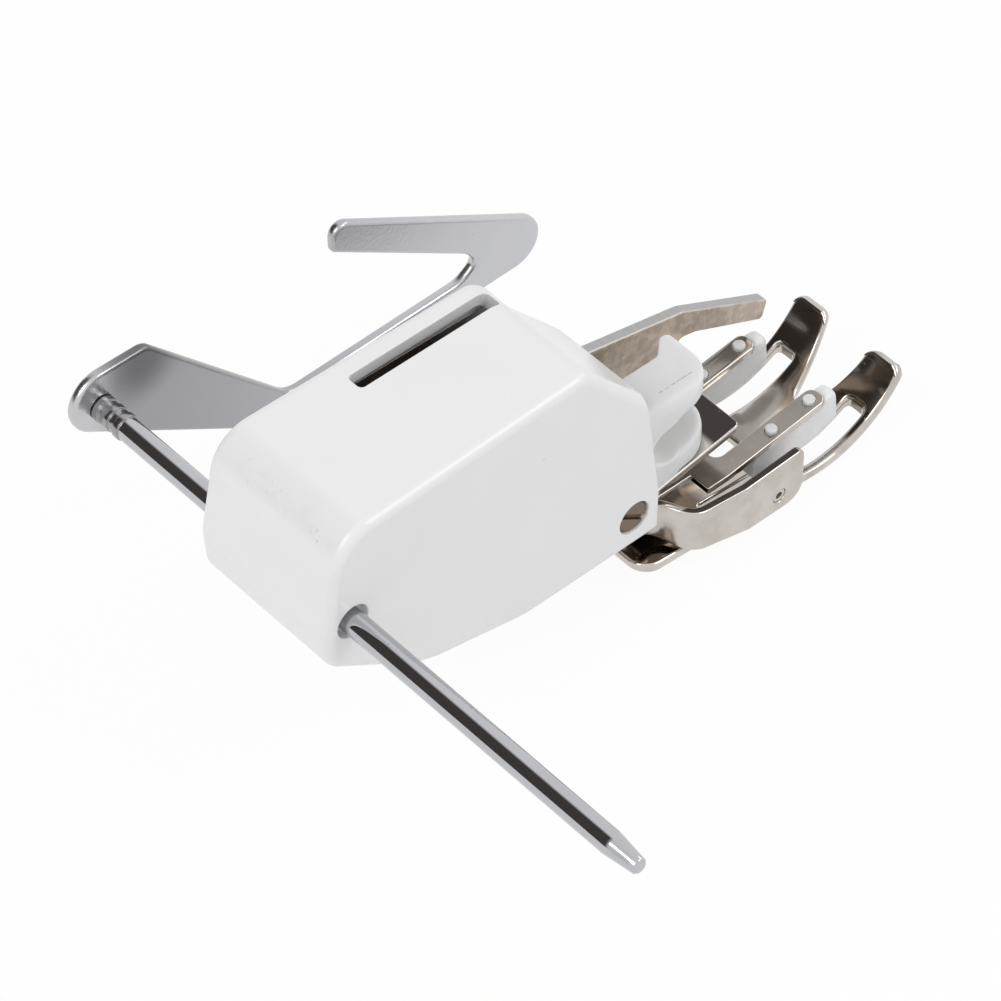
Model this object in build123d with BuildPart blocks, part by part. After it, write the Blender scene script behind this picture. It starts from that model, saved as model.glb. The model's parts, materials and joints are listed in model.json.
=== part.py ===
# Walking foot for a low-shank sewing machine, open toe, with its quilting guide.
# Millimetres. X right, Y towards the back, Z up.
# Origin on the shank screw axis; the foot itself is centred on the plane X = foot_x.
import os
from math import cos, radians, sin, tan

from build123d import *

os.makedirs("parts", exist_ok=True)

# Standard interface: shank screw notch, presser bar and height of the shank screw over the sole.
shank_height = 14.0
notch_radius = 2.1
notch_rise = 12.0
bar_radius = 3.2

# Clearances, as radial gaps.
run_gap = 0.05
seat_gap = 0.02
side_gap = 0.1

# Moulded cover.
cover_wall = 1.4
cover_round = 1.1
cover_front = 2.95
cover_rear = 43.0
cover_top = 18.6
cover_bottom = -8.0
cover_left_front = -7.0
cover_left_rear = -8.25
cover_right_front = 8.6
cover_right_rear = 9.45
floor_front = 19.5
lip_y = 4.55
lip_z = 10.5
crease_y = 11.7
slot_left = 4.8
slot_right = 6.7
slot_rear = 27.7
slot_front = 11.4
lever_gate = 10.6
cover_screw_y = 5.85
cover_screw_z = -4.1
screw_head_radius = 1.7
screw_shank_radius = 1.0

# Nylon shank block.
block_left = -5.4
block_right = 0.0
block_top = 5.3
block_front = -6.05
block_rear = 10.5
block_round = 1.5
finger_reach = 1.65
finger_thick = 1.0
block_corner = 3.6

# Sheet metal chassis.
sheet = 0.9
web_top = -5.3
web_rear = 18.5
web_wide_front = 12.0
tongue_front = -8.9
tongue_rise = 2.09
tongue_bend_y = 3.0
tongue_right = 0.2
plate_left_x = -5.5
plate_right_x = 4.2
plate_right_sheet = 0.8
arm_root_x = 4.95
arm_outer = 8.5
arm_front = -13.9
arm_bend_rear = 2.7
arm_bend_front = -1.8

# Hinged sole, and the plane it is centred on.
foot_x = -0.5
sole_thick = 1.1
sole_half = 7.0
sole_rear = 4.8
toe_root = -16.9
toe_radius = 12.4
toe_sweep = 66.0
toe_gap_root = -19.6
toe_gap_flare = 0.365
needle_hole_y = -11.5
needle_wide = 5.0
needle_long = 4.6
feed_slot_inner = 3.65
feed_slot_outer = 5.85
feed_slot_rear = -5.0
feed_slot_front = -24.3
ear_sheet = 0.8
sole_pin_y = -10.9
sole_pin_over = 2.4
sole_pin_radius = 0.75
sole_droop = 4.0

# Lever, its shaft and cam.
lever_x = 5.15
lever_thick = 1.2
lever_neck_y = 0.25
lever_neck_z = 4.27
lever_kink_y = -11.4
lever_kink_z = 1.7
lever_tip_y = -22.3
lever_tip_z = -3.85
fork_root_y = -10.8
fork_root_z = -1.5
fork_depth = 2.25
pivot_y = 28.0
pivot_z = 8.0
hub_radius = 2.4
shaft_radius = 1.25
cam_radius = 2.6
cam_offset = 2.2
cam_angle = 45.0
cam_width = 1.2
cam_x = 0.2

# Lifter that carries the feed.
lifter_y = 19.5
lifter_z = 0.0
lifter_x = 1.5
lifter_thick = 1.0
lifter_pin_radius = 1.0
bush_radius = 1.6
roller_y = 27.5
roller_z = 2.35
roller_radius = 1.3
stud_front_y = 8.4
stud_rear_y = 12.2
stud_z = -1.0
stud_radius = 0.8
stud_head_radius = 1.35
walk_travel = 3.0

# Feed carrier and its pads.
fin_x = 2.6
fin_thick = 0.9
strip_thick = 0.8
strip_inner = 3.65
strip_outer = 5.85
strip_rear_y = -6.75
strip_over = 6.06
strip_front_y = -19.2
strip_pitch = 7.4
strip_end_round = 0.85
pad_inner = 3.8
pad_outer = 5.7
pad_rear_y = -10.2
pad_front_y = -21.3
pad_tall = 3.4
dot_rear_y = -13.1
dot_front_y = -17.9
dot_radius = 0.6
dot_proud = 0.3

# Quilting guide.
rod_radius = 1.2
rod_y = 39.9
rod_z = 7.9
rod_long = 71.35
rod_tip_radius = 0.8
rod_taper = 3.6
rod_neck_radius = 0.9
collar_radius = 1.34
collar_long = 3.5
guide_x = 26.5
guide_thick = 1.1
guide_back = 11.3
guide_head = 4.1
guide_foot = -16.0
guide_foot_rear = -18.9
guide_toe = -60.0
guide_toe_drop = -14.8
guide_arm_end = -27.25
guide_arm_top = 5.2
guide_arm_low = 1.4
guide_lobe = 3.43
guide_toe_round = 3.1

# Values worked out from the sizes above.
sole_bottom = -shank_height
sole_top = sole_bottom + sole_thick
strip_rear_top = sole_bottom + strip_over
web_bottom = web_top - sheet
tongue_slope = tongue_rise / (tongue_bend_y - tongue_front)
sole_pin_z = sole_bottom + sole_pin_over
arm_inner = arm_outer - sheet
arm_mid = arm_outer - sheet / 2
pitch_rise = tan(radians(strip_pitch))
lever_mid = lever_x + lever_thick / 2
guide_mid = guide_x + guide_thick / 2
rod_tip_x = guide_x - rod_long
cover_span = cover_right_rear - cover_left_rear + 8
bar_front = -bar_radius - side_gap
rivet_radius = 0.9
rivet_spots = ((block_left + 2.7, tongue_bend_y + 1.6), (block_left + 2.7, block_rear - 1.8))


# Side view of the cover from its front lip round to its front foot, for the outside and the hollow.
cover_points = (
    (lip_y, lip_z),
    (crease_y, cover_top),
    (cover_rear - 2.0, cover_top),
    (cover_rear, cover_bottom + 16.0),
    (cover_rear - 0.4, cover_bottom + 11.4),
    (cover_rear - 11.3, cover_bottom + 3.6),
    (cover_rear - 23.5, cover_bottom + 0.6),
    (cover_front, cover_bottom),
)
cover_bends = (2.4, 4.6, 6.0, 3.0, 14.0, 14.0)
cover_face = ((cover_front, cover_bottom), (cover_front - 0.15, cover_bottom + 5.4), (lip_y, lip_z))


def cover_plan(inset):
    # Plan corners of the cover between its slightly flared sides.
    return (
        (cover_left_front + inset, cover_front - 3),
        (cover_left_rear + inset, cover_rear + 3),
        (cover_right_rear - inset, cover_rear + 3),
        (cover_right_front - inset, cover_front - 3),
    )


def cover_left_at(y):
    # Outside of the left wall at depth y.
    share = (y - cover_front + 3) / (cover_rear - cover_front + 6)
    return cover_left_front + share * (cover_left_rear - cover_left_front)


# Hollow of the cover, with the bosses that stay inside it taken out of the hollow.
with BuildPart() as hollow:
    with BuildSketch(Plane.YZ.offset(cover_left_rear - 4)):
        with BuildLine():
            FilletPolyline(*cover_points, radius=cover_bends)
            Polyline(*cover_face)
        make_face()
        offset(amount=-cover_wall)
        with BuildLine():
            Polyline(
                (cover_front - 2, cover_bottom - 2),
                (floor_front, cover_bottom - 2),
                (floor_front, cover_bottom + 5),
                (lip_y + 5, lip_z - 0.6),
                (cover_front - 2, lip_z - 0.6),
                close=True,
            )
        make_face()
    extrude(amount=cover_span)
    with BuildSketch(Plane.XY.offset(cover_bottom - 4)):
        with BuildLine():
            Polyline(*cover_plan(cover_wall), close=True)
        make_face()
    extrude(amount=cover_top - cover_bottom + 8, mode=Mode.INTERSECT)
    with BuildSketch(Plane.YZ.offset(cover_left_rear)):
        with Locations((rod_y, rod_z)):
            Circle(rod_radius + 1.25)
    extrude(amount=4.6, mode=Mode.SUBTRACT)
    with BuildSketch(Plane.YZ.offset(cover_right_rear)):
        with Locations((rod_y, rod_z)):
            Circle(rod_radius + 1.25)
    extrude(amount=-4.6, mode=Mode.SUBTRACT)
    with BuildSketch(Plane.YZ.offset(block_left - side_gap)):
        with Locations((cover_screw_y, cover_screw_z)):
            Circle(screw_head_radius + 0.9)
    extrude(amount=-3, mode=Mode.SUBTRACT)

# Moulded cover: rounded body less its hollow, lever slot, rod bore and screw counterbore.
with BuildPart() as housing_cover:
    with BuildSketch(Plane.YZ.offset(cover_left_rear - 4)):
        with BuildLine():
            FilletPolyline(*cover_points, radius=cover_bends)
            Polyline(*cover_face)
        make_face()
    extrude(amount=cover_span)
    with BuildSketch(Plane.XY.offset(cover_bottom - 4)):
        with BuildLine():
            Polyline(*cover_plan(0), close=True)
        make_face()
    extrude(amount=cover_top - cover_bottom + 8, mode=Mode.INTERSECT)
    cover_sides = housing_cover.faces().sort_by(Axis.X)
    cover_edges = cover_sides[0].edges() + cover_sides[-1].edges()
    soft_edges = cover_edges.filter_by(lambda e: e.center().Y > lip_y + 0.6)
    fillet(soft_edges.filter_by(lambda e: e.center().Z > cover_bottom + 0.5), cover_round)
    add(hollow.part, mode=Mode.SUBTRACT)
    with BuildSketch(Plane.XY.offset(lip_z - 3)):
        with Locations(((slot_left + slot_right) / 2, (slot_front + slot_rear) / 2)):
            RectangleRounded(slot_right - slot_left, slot_rear - slot_front, 0.5)
        with Locations(((slot_left + slot_right) / 2, lever_gate - 6)):
            Rectangle(slot_right - slot_left, 12)
    extrude(amount=cover_top, mode=Mode.SUBTRACT)
    with BuildSketch(Plane.YZ.offset(cover_left_rear - 4)):
        with Locations((rod_y, rod_z)):
            Circle(rod_radius + run_gap)
    extrude(amount=cover_span, mode=Mode.SUBTRACT)
    with BuildSketch(Plane.YZ.offset(cover_left_at(rod_y) + 1.1)):
        with Locations((rod_y, rod_z)):
            Circle(rod_radius + 0.55)
    extrude(amount=-4, mode=Mode.SUBTRACT)
    with BuildSketch(Plane.YZ.offset(cover_left_at(cover_screw_y) + 1.0)):
        with Locations((cover_screw_y, cover_screw_z)):
            Circle(screw_head_radius + side_gap)
    extrude(amount=-4, mode=Mode.SUBTRACT)
    with BuildSketch(Plane.YZ.offset(block_left)):
        with Locations((cover_screw_y, cover_screw_z)):
            Circle(screw_shank_radius + side_gap)
    extrude(amount=-4, mode=Mode.SUBTRACT)
housing_cover.part.label = "housing_cover"
export_step(housing_cover.part, "parts/housing_cover.step")

# Slotted screw that holds the cover to the shank block.
screw_seat_x = cover_left_at(cover_screw_y) + 1.0 - seat_gap
with BuildPart() as cover_screw:
    with BuildSketch(Plane.YZ.offset(screw_seat_x)):
        with Locations((cover_screw_y, cover_screw_z)):
            Circle(screw_head_radius)
    extrude(amount=-0.75)
    fillet(cover_screw.edges().sort_by(Axis.X)[0], 0.25)
    with BuildSketch(Plane.YZ.offset(screw_seat_x)):
        with Locations((cover_screw_y, cover_screw_z)):
            Circle(screw_shank_radius)
    extrude(amount=block_left + 1.5 - screw_seat_x)
    with BuildSketch(Plane.YZ.offset(screw_seat_x - 0.75)):
        with Locations(Location((cover_screw_y, cover_screw_z), 35)):
            Rectangle(2 * screw_head_radius + 0.4, 0.55)
    extrude(amount=0.4, mode=Mode.SUBTRACT)
cover_screw.part.label = "cover_screw"
export_step(cover_screw.part, "parts/cover_screw.step")

# Nylon shank block: screw notch through X, flat seat for the presser bar behind the finger on the right.
with BuildPart() as shank_block:
    with BuildSketch(Plane.YZ.offset(block_left)):
        with BuildLine():
            Polyline(
                (block_rear, web_top + seat_gap),
                (tongue_bend_y, web_top + seat_gap),
                (block_front - 0.5, web_top + seat_gap + tongue_slope * (tongue_bend_y - block_front + 0.5)),
                (block_front - 0.5, block_top),
                (block_rear, block_top),
                close=True,
            )
        make_face()
    extrude(amount=block_right + finger_reach - block_left)
    with BuildSketch(Plane.XY.offset(web_top - 1)):
        with BuildLine():
            FilletPolyline(
                (block_left, block_rear),
                (block_left, block_front),
                (block_right + finger_reach, block_front),
                (block_right + finger_reach, block_front + finger_thick),
                (block_right, bar_front),
                (block_right, block_rear),
                radius=(block_corner, 0.6, 0.35, 0.8),
            )
            Line((block_right, block_rear), (block_left, block_rear))
        make_face()
    extrude(amount=block_top - web_top + 2, mode=Mode.INTERSECT)
    with BuildSketch(Plane.XZ.offset(-block_rear - 1)):
        with BuildLine():
            FilletPolyline(
                (block_right + finger_reach + 1, block_top),
                (block_left, block_top),
                (block_left, web_top - 2),
                radius=block_round,
            )
            Polyline(
                (block_left, web_top - 2),
                (block_right + finger_reach + 1, web_top - 2),
                (block_right + finger_reach + 1, block_top),
            )
        make_face()
    extrude(amount=block_rear - block_front + 3, mode=Mode.INTERSECT)
    with BuildSketch(Plane.YZ.offset(block_left - 1)):
        Circle(notch_radius)
        with Locations(Location((0, 0), 180 - notch_rise)):
            with Locations((6, 0)):
                Rectangle(12, 2 * notch_radius)
        with BuildLine():
            Polyline((0, 0), (block_front - 4, 5.6), (block_front - 4, -0.6), close=True)
        make_face()
    extrude(amount=block_right - block_left + finger_reach + 2, mode=Mode.SUBTRACT)
    with BuildSketch(Plane.YZ.offset(block_left - 1)):
        with Locations((cover_screw_y, cover_screw_z)):
            Circle(screw_shank_radius + seat_gap)
    extrude(amount=2.7, mode=Mode.SUBTRACT)
    with BuildSketch(Plane.XY.offset(web_top - 1)):
        with Locations(*rivet_spots):
            Circle(rivet_radius + seat_gap)
    extrude(amount=4.4, mode=Mode.SUBTRACT)
shank_block.part.label = "shank_block"
export_step(shank_block.part, "parts/shank_block.step")

# The two flared arms, each cut to the same side view.
chassis_arms = []
for side in (-1, 1):
    arm_x = foot_x + side * arm_mid
    with BuildPart() as chassis_arm:
        with BuildSketch(Plane.XY.offset(sole_bottom - 1)):
            with BuildLine():
                Line((side * arm_root_x, web_rear - 1), (side * arm_root_x, arm_bend_rear))
                Spline(
                    (side * arm_root_x, arm_bend_rear),
                    (arm_x, arm_bend_front),
                    tangents=((0, -1), (0, -1)),
                )
                Line((arm_x, arm_bend_front), (arm_x, arm_front))
            trace(line_width=sheet)
        extrude(amount=shank_height + web_top + 1)
        with BuildSketch(Plane.YZ.offset(foot_x - arm_outer - 1)):
            with BuildLine():
                FilletPolyline(
                    (web_rear + 1, web_top),
                    (web_wide_front, web_top),
                    (web_wide_front - 0.6, web_bottom - 0.1),
                    (1.0, web_bottom - 0.4),
                    (-6.6, web_bottom - 1.4),
                    (arm_front, web_bottom - 1.0),
                    (arm_front, sole_bottom + 0.6),
                    (-7.0, sole_bottom + 0.6),
                    (-1.8, sole_bottom + 2.0),
                    (0.6, sole_bottom + 2.4),
                    (5.2, cover_bottom - 0.3),
                    (web_wide_front, cover_bottom + 0.4),
                    (web_rear + 1, cover_bottom + 0.8),
                    radius=(0.2, 0.3, 1.5, 2.0, 0.8, 2.2, 1.0, 1.0, 2.0, 1.5, 0.5),
                )
                Line((web_rear + 1, cover_bottom + 0.8), (web_rear + 1, web_top))
            make_face()
        extrude(amount=2 * arm_outer + 2, mode=Mode.INTERSECT)
    chassis_arms.append(chassis_arm.part)

# Side view shared by the two upright plates that carry the shaft and the lifter pin.
plate_points = (
    (web_wide_front, web_bottom),
    (web_rear, web_bottom),
    (pivot_y + 1.0, pivot_z - 8.6),
    (pivot_y + 4.4, pivot_z - 5.0),
    (pivot_y + 4.0, pivot_z + 4.2),
    (pivot_y - 4.6, pivot_z + 3.6),
    (lifter_y - 3.4, lifter_z + 4.0),
    (web_wide_front, web_top + 3.4),
)
plate_bends = (0.5, 2.0, 2.5, 3.4, 2.6, 2.5)

# Sheet metal chassis: tongue under the block, web, two upright plates and the two arms.
with BuildPart() as chassis:
    with BuildSketch(Plane.YZ.offset(block_left)):
        with BuildLine():
            Polyline(
                (web_rear, web_top),
                (tongue_bend_y, web_top),
                (tongue_front, web_top + tongue_rise),
                (tongue_front, web_bottom + tongue_rise),
                (tongue_bend_y + 0.08, web_bottom),
                (web_rear, web_bottom),
                close=True,
            )
        make_face()
    extrude(amount=tongue_right - block_left)
    tongue_corners = chassis.faces().sort_by(Axis.Y)[0].edges().filter_by(Axis.Z)
    fillet(tongue_corners, 0.6)
    with BuildSketch(Plane.XY.offset(web_bottom)):
        with BuildLine():
            Polyline(
                (plate_left_x, web_wide_front),
                (plate_left_x, web_rear),
                (plate_right_x + plate_right_sheet, web_rear),
                (plate_right_x + plate_right_sheet, web_wide_front),
                close=True,
            )
        make_face()
    extrude(amount=sheet)
    add(chassis_arms)
    with BuildSketch(Plane.YZ.offset(plate_left_x)):
        with BuildLine():
            FilletPolyline(*plate_points, radius=plate_bends)
            Line(plate_points[-1], plate_points[0])
        make_face()
    extrude(amount=sheet)
    with BuildSketch(Plane.YZ.offset(plate_right_x)):
        with BuildLine():
            FilletPolyline(*plate_points, radius=plate_bends)
            Line(plate_points[-1], plate_points[0])
        make_face()
    extrude(amount=plate_right_sheet)
    with BuildSketch(Plane.YZ.offset(plate_left_x - 1)):
        with Locations((pivot_y, pivot_z)):
            Circle(shaft_radius + run_gap)
        with Locations((lifter_y, lifter_z)):
            Circle(lifter_pin_radius + seat_gap)
    extrude(amount=plate_right_x - plate_left_x + 4, mode=Mode.SUBTRACT)
    with BuildSketch(Plane.YZ.offset(foot_x - arm_outer - 1)):
        with Locations((sole_pin_y, sole_pin_z)):
            Circle(sole_pin_radius + seat_gap)
    extrude(amount=2 * arm_outer + 2, mode=Mode.SUBTRACT)
    with BuildSketch(Plane.XY.offset(web_bottom - 2)):
        with Locations(*rivet_spots):
            Circle(rivet_radius + seat_gap)
    extrude(amount=5, mode=Mode.SUBTRACT)
chassis.part.label = "chassis"
export_step(chassis.part, "parts/chassis.step")

# Two rivets that hold the block down on the web.
with BuildPart() as shank_rivets:
    with BuildSketch(Plane.XY.offset(web_bottom - 0.6)):
        with Locations(*rivet_spots):
            Circle(rivet_radius + 0.6)
    extrude(amount=0.6 - seat_gap)
    with BuildSketch(Plane.XY.offset(web_bottom - 0.4)):
        with Locations(*rivet_spots):
            Circle(rivet_radius)
    extrude(amount=sheet + 0.4 + 3.0)
shank_rivets.part.label = "shank_rivets"
export_step(shank_rivets.part, "parts/shank_rivets.step")

# Hinged sole: flat plate that turns up into two open toes, each with a feed slot, and two ears.
slot_mid_x = (feed_slot_inner + feed_slot_outer) / 2
slot_mid_y = (feed_slot_rear + feed_slot_front) / 2
toe_end = toe_root - toe_radius - 2
toe_gap_wide = toe_gap_flare * (toe_gap_root - toe_end)
with BuildPart() as sole_level:
    with BuildSketch(Plane.YZ.offset(-sole_half)):
        with BuildLine():
            Line((sole_rear, sole_bottom), (toe_root, sole_bottom))
            toe_under = JernArc((toe_root, sole_bottom), (-1, 0), toe_radius, -toe_sweep)
            toe_over = JernArc((toe_root, sole_top), (-1, 0), toe_radius - sole_thick, -toe_sweep)
            Line(toe_under @ 1, toe_over @ 1)
            Line((toe_root, sole_top), (sole_rear, sole_top))
            Line((sole_rear, sole_top), (sole_rear, sole_bottom))
        make_face()
    extrude(amount=2 * sole_half)
    with BuildSketch(Plane.XY.offset(sole_bottom - 1)):
        with BuildLine():
            FilletPolyline(
                (-toe_gap_wide, toe_end),
                (0, toe_gap_root),
                (toe_gap_wide, toe_end),
                radius=1.0,
            )
            Line((toe_gap_wide, toe_end), (-toe_gap_wide, toe_end))
        make_face()
        with Locations((0, needle_hole_y)):
            RectangleRounded(needle_wide, needle_long, 0.6)
        with Locations((-slot_mid_x, slot_mid_y), (slot_mid_x, slot_mid_y)):
            RectangleRounded(feed_slot_outer - feed_slot_inner, feed_slot_rear - feed_slot_front, 0.5)
    extrude(amount=14, mode=Mode.SUBTRACT)
    fillet(sole_level.edges().filter_by(Axis.Z).group_by(Axis.Y)[-1], 2.2)
    toe_ends = sole_level.faces().sort_by(Axis.Y)[:2]
    tip_edges = toe_ends[0].edges() + toe_ends[1].edges()
    fillet(tip_edges.filter_by(Axis.X, reverse=True), 1.1)
    with BuildSketch(Plane.YZ.offset(-sole_half), Plane.YZ.offset(sole_half - ear_sheet)):
        with Locations((sole_pin_y, sole_pin_z)):
            Circle(1.55)
        with BuildLine():
            Polyline(
                (sole_pin_y - 3.2, sole_top - 0.3),
                (sole_pin_y - 1.5, sole_pin_z + 0.3),
                (sole_pin_y + 1.5, sole_pin_z + 0.3),
                (sole_pin_y + 3.2, sole_top - 0.3),
                close=True,
            )
        make_face()
    extrude(amount=ear_sheet)
    with BuildSketch(Plane.YZ.offset(-sole_half - 1)):
        with Locations((sole_pin_y, sole_pin_z)):
            Circle(sole_pin_radius + run_gap)
    extrude(amount=2 * sole_half + 2, mode=Mode.SUBTRACT)
with BuildPart() as sole:
    with Locations((foot_x, 0, 0)):
        add(sole_level.part.rotate(Axis((0, sole_pin_y, sole_pin_z), (1, 0, 0)), sole_droop))
sole.part.label = "sole"
export_step(sole.part, "parts/sole.step")

# Two pins fixed in the arms, on which the sole tilts.
ear_right_x = foot_x + sole_half - ear_sheet
with BuildPart() as sole_pins:
    with BuildSketch(Plane.YZ.offset(foot_x - arm_outer + 0.15), Plane.YZ.offset(ear_right_x - 0.3)):
        with Locations((sole_pin_y, sole_pin_z)):
            Circle(sole_pin_radius)
    extrude(amount=arm_outer - 0.15 - sole_half + ear_sheet + 0.3)
    with BuildSketch(Plane.YZ.offset(foot_x - arm_outer + 0.7), Plane.YZ.offset(foot_x + arm_outer - 0.7)):
        with Locations((sole_pin_y, sole_pin_z)):
            Circle(sole_pin_radius / 2)
    extrude(amount=1, both=True, mode=Mode.SUBTRACT)
sole_pins.part.label = "sole_pins"
export_step(sole_pins.part, "parts/sole_pins.step")

# Fork lever that rides on the needle clamp screw.
with BuildPart() as fork_lever:
    with BuildSketch(Plane.YZ.offset(lever_x)):
        with Locations((pivot_y, pivot_z)):
            Circle(hub_radius)
        with BuildLine():
            FilletPolyline(
                (pivot_y, pivot_z + hub_radius),
                (lever_neck_y, lever_neck_z),
                (lever_kink_y, lever_kink_z),
                (lever_tip_y, lever_tip_z),
                (lever_tip_y + 0.6, lever_tip_z - fork_depth),
                (fork_root_y - 2.2, fork_root_z - 0.5),
                (fork_root_y, fork_root_z),
                (fork_root_y + 0.5, fork_root_z - 2.9),
                (fork_root_y + 6.2, fork_root_z - 2.2),
                (pivot_y - 18.0, pivot_z - 7.6),
                (pivot_y + 0.55, pivot_z - hub_radius + 0.06),
                radius=(0.5, 3.0, 0.5, 0.5, 1.5, 0.8, 0.7, 2.0, 3.0),
            )
            Line((pivot_y + 0.55, pivot_z - hub_radius + 0.06), (pivot_y, pivot_z + hub_radius))
        make_face()
        with Locations((pivot_y, pivot_z)):
            Circle(shaft_radius + seat_gap, mode=Mode.SUBTRACT)
    extrude(amount=lever_thick)
fork_lever.part.label = "fork_lever"
export_step(fork_lever.part, "parts/fork_lever.step")

# Shaft that the lever is riveted to; it turns in the two plates.
shaft_left = plate_left_x - 0.65
with BuildPart() as lever_shaft:
    with BuildSketch(Plane.YZ.offset(shaft_left)):
        with Locations((pivot_y, pivot_z)):
            Circle(shaft_radius)
    extrude(amount=lever_x + lever_thick + 0.3 - shaft_left)
    with BuildSketch(Plane.YZ.offset(lever_x + lever_thick + seat_gap)):
        with Locations((pivot_y, pivot_z)):
            Circle(shaft_radius + 0.7)
    extrude(amount=0.5)
    fillet(lever_shaft.edges().sort_by(Axis.X)[-1], 0.2)
lever_shaft.part.label = "lever_shaft"
export_step(lever_shaft.part, "parts/lever_shaft.step")

# Spring clip on the left end of the shaft.
with BuildPart() as shaft_clip:
    with BuildSketch(Plane.YZ.offset(plate_left_x - side_gap - 0.4)):
        with Locations((pivot_y, pivot_z)):
            Circle(shaft_radius + 1.0)
            Circle(shaft_radius + seat_gap, mode=Mode.SUBTRACT)
        with Locations((pivot_y, pivot_z + 2.5)):
            Rectangle(2 * shaft_radius - 0.6, 5, mode=Mode.SUBTRACT)
    extrude(amount=0.4)
shaft_clip.part.label = "shaft_clip"
export_step(shaft_clip.part, "parts/shaft_clip.step")

# Cam on the shaft that holds the lifter down at rest and frees it as the lever rises.
with BuildPart() as lift_cam:
    with BuildSketch(Plane.YZ.offset(cam_x)):
        with Locations((pivot_y, pivot_z)):
            Circle(hub_radius)
        with Locations(
            (pivot_y - cam_offset * sin(radians(cam_angle)), pivot_z - cam_offset * cos(radians(cam_angle)))
        ):
            Circle(cam_radius)
        with Locations((pivot_y, pivot_z)):
            Circle(shaft_radius + seat_gap, mode=Mode.SUBTRACT)
    extrude(amount=cam_width)
lift_cam.part.label = "lift_cam"
export_step(lift_cam.part, "parts/lift_cam.step")

# Lifter: a rocker on its own pin with a roller arm behind and two walk studs in front.
spring_z = stud_z + 3.7
fin_top = stud_z + 1.9
fin_rear = stud_rear_y + 1.4
tab_y = stud_front_y - 1.2
with BuildPart() as lifter:
    with BuildSketch(Plane.YZ.offset(lifter_x)):
        with BuildLine():
            FilletPolyline(
                (stud_front_y - 1.7, stud_z - 1.4),
                (lifter_y - 1.6, lifter_z - 2.6),
                (lifter_y + 2.4, lifter_z - 2.4),
                (roller_y + 1.3, roller_z - 1.3),
                (roller_y + 1.3, roller_z + 1.4),
                (roller_y - 1.2, roller_z + 1.2),
                (lifter_y, lifter_z + 2.7),
                (stud_front_y + 0.2, stud_z + 2.2),
                (tab_y + 0.4, spring_z + 1.0),
                (tab_y - 0.4, spring_z + 1.0),
                radius=(1.2, 2.0, 1.2, 1.2, 3.0, 3.0, 0.6, 0.2),
            )
            Line((tab_y - 0.4, spring_z + 1.0), (stud_front_y - 1.7, stud_z - 1.4))
        make_face()
    extrude(amount=lifter_thick)
    with BuildSketch(Plane.XY.offset(fin_top + 0.4)):
        with Locations(((lifter_x + fin_x + fin_thick) / 2, tab_y)):
            Rectangle(fin_x + fin_thick - lifter_x, 0.8)
    extrude(amount=spring_z + 1.0 - fin_top - 0.4)
    with BuildSketch(Plane.YZ.offset(lifter_x - 1)):
        with Locations((lifter_y, lifter_z)):
            Circle(lifter_pin_radius + run_gap)
        with Locations((stud_front_y, stud_z), (stud_rear_y, stud_z)):
            Circle(stud_radius + seat_gap)
        with Locations((roller_y, roller_z)):
            Circle(0.6 + seat_gap)
    extrude(amount=lifter_thick + 2, mode=Mode.SUBTRACT)
lifter.part.label = "lifter"
export_step(lifter.part, "parts/lifter.step")

# Pin that the lifter rocks on, fixed in the plates, with a flat head on the left.
with BuildPart() as lifter_pin:
    with BuildSketch(Plane.YZ.offset(plate_left_x - seat_gap - 0.4)):
        with Locations((lifter_y, lifter_z)):
            Circle(lifter_pin_radius + 0.6)
    extrude(amount=0.4)
    with BuildSketch(Plane.YZ.offset(plate_left_x - 0.3)):
        with Locations((lifter_y, lifter_z)):
            Circle(lifter_pin_radius)
    extrude(amount=plate_right_x + plate_right_sheet - plate_left_x + 0.3)
lifter_pin.part.label = "lifter_pin"
export_step(lifter_pin.part, "parts/lifter_pin.step")

# Bushes on the lifter pin that keep the lifter in place between the plates.
with BuildPart() as bush_left:
    with BuildSketch(Plane.YZ.offset(plate_left_x + sheet + side_gap)):
        with Locations((lifter_y, lifter_z)):
            Circle(bush_radius)
            Circle(lifter_pin_radius + run_gap, mode=Mode.SUBTRACT)
    extrude(amount=lifter_x - plate_left_x - sheet - 2 * side_gap)
bush_left.part.label = "bush_left"
export_step(bush_left.part, "parts/bush_left.step")

with BuildPart() as bush_right:
    with BuildSketch(Plane.YZ.offset(lifter_x + lifter_thick + side_gap)):
        with Locations((lifter_y, lifter_z)):
            Circle(bush_radius)
            Circle(lifter_pin_radius + run_gap, mode=Mode.SUBTRACT)
    extrude(amount=plate_right_x - lifter_x - lifter_thick - 2 * side_gap)
bush_right.part.label = "bush_right"
export_step(bush_right.part, "parts/bush_right.step")

# Follower roller under the cam and the pin it sits on.
with BuildPart() as follower_roller:
    with BuildSketch(Plane.YZ.offset(cam_x)):
        with Locations((roller_y, roller_z)):
            Circle(roller_radius)
            Circle(0.6 + run_gap, mode=Mode.SUBTRACT)
    extrude(amount=cam_width)
follower_roller.part.label = "follower_roller"
export_step(follower_roller.part, "parts/follower_roller.step")

with BuildPart() as follower_pin:
    with BuildSketch(Plane.YZ.offset(cam_x - side_gap - 0.4)):
        with Locations((roller_y, roller_z)):
            Circle(1.0)
    extrude(amount=0.4)
    with BuildSketch(Plane.YZ.offset(cam_x - side_gap - 0.2)):
        with Locations((roller_y, roller_z)):
            Circle(0.6)
    extrude(amount=lifter_x + lifter_thick - cam_x + side_gap + 0.2)
follower_pin.part.label = "follower_pin"
export_step(follower_pin.part, "parts/follower_pin.step")

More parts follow.
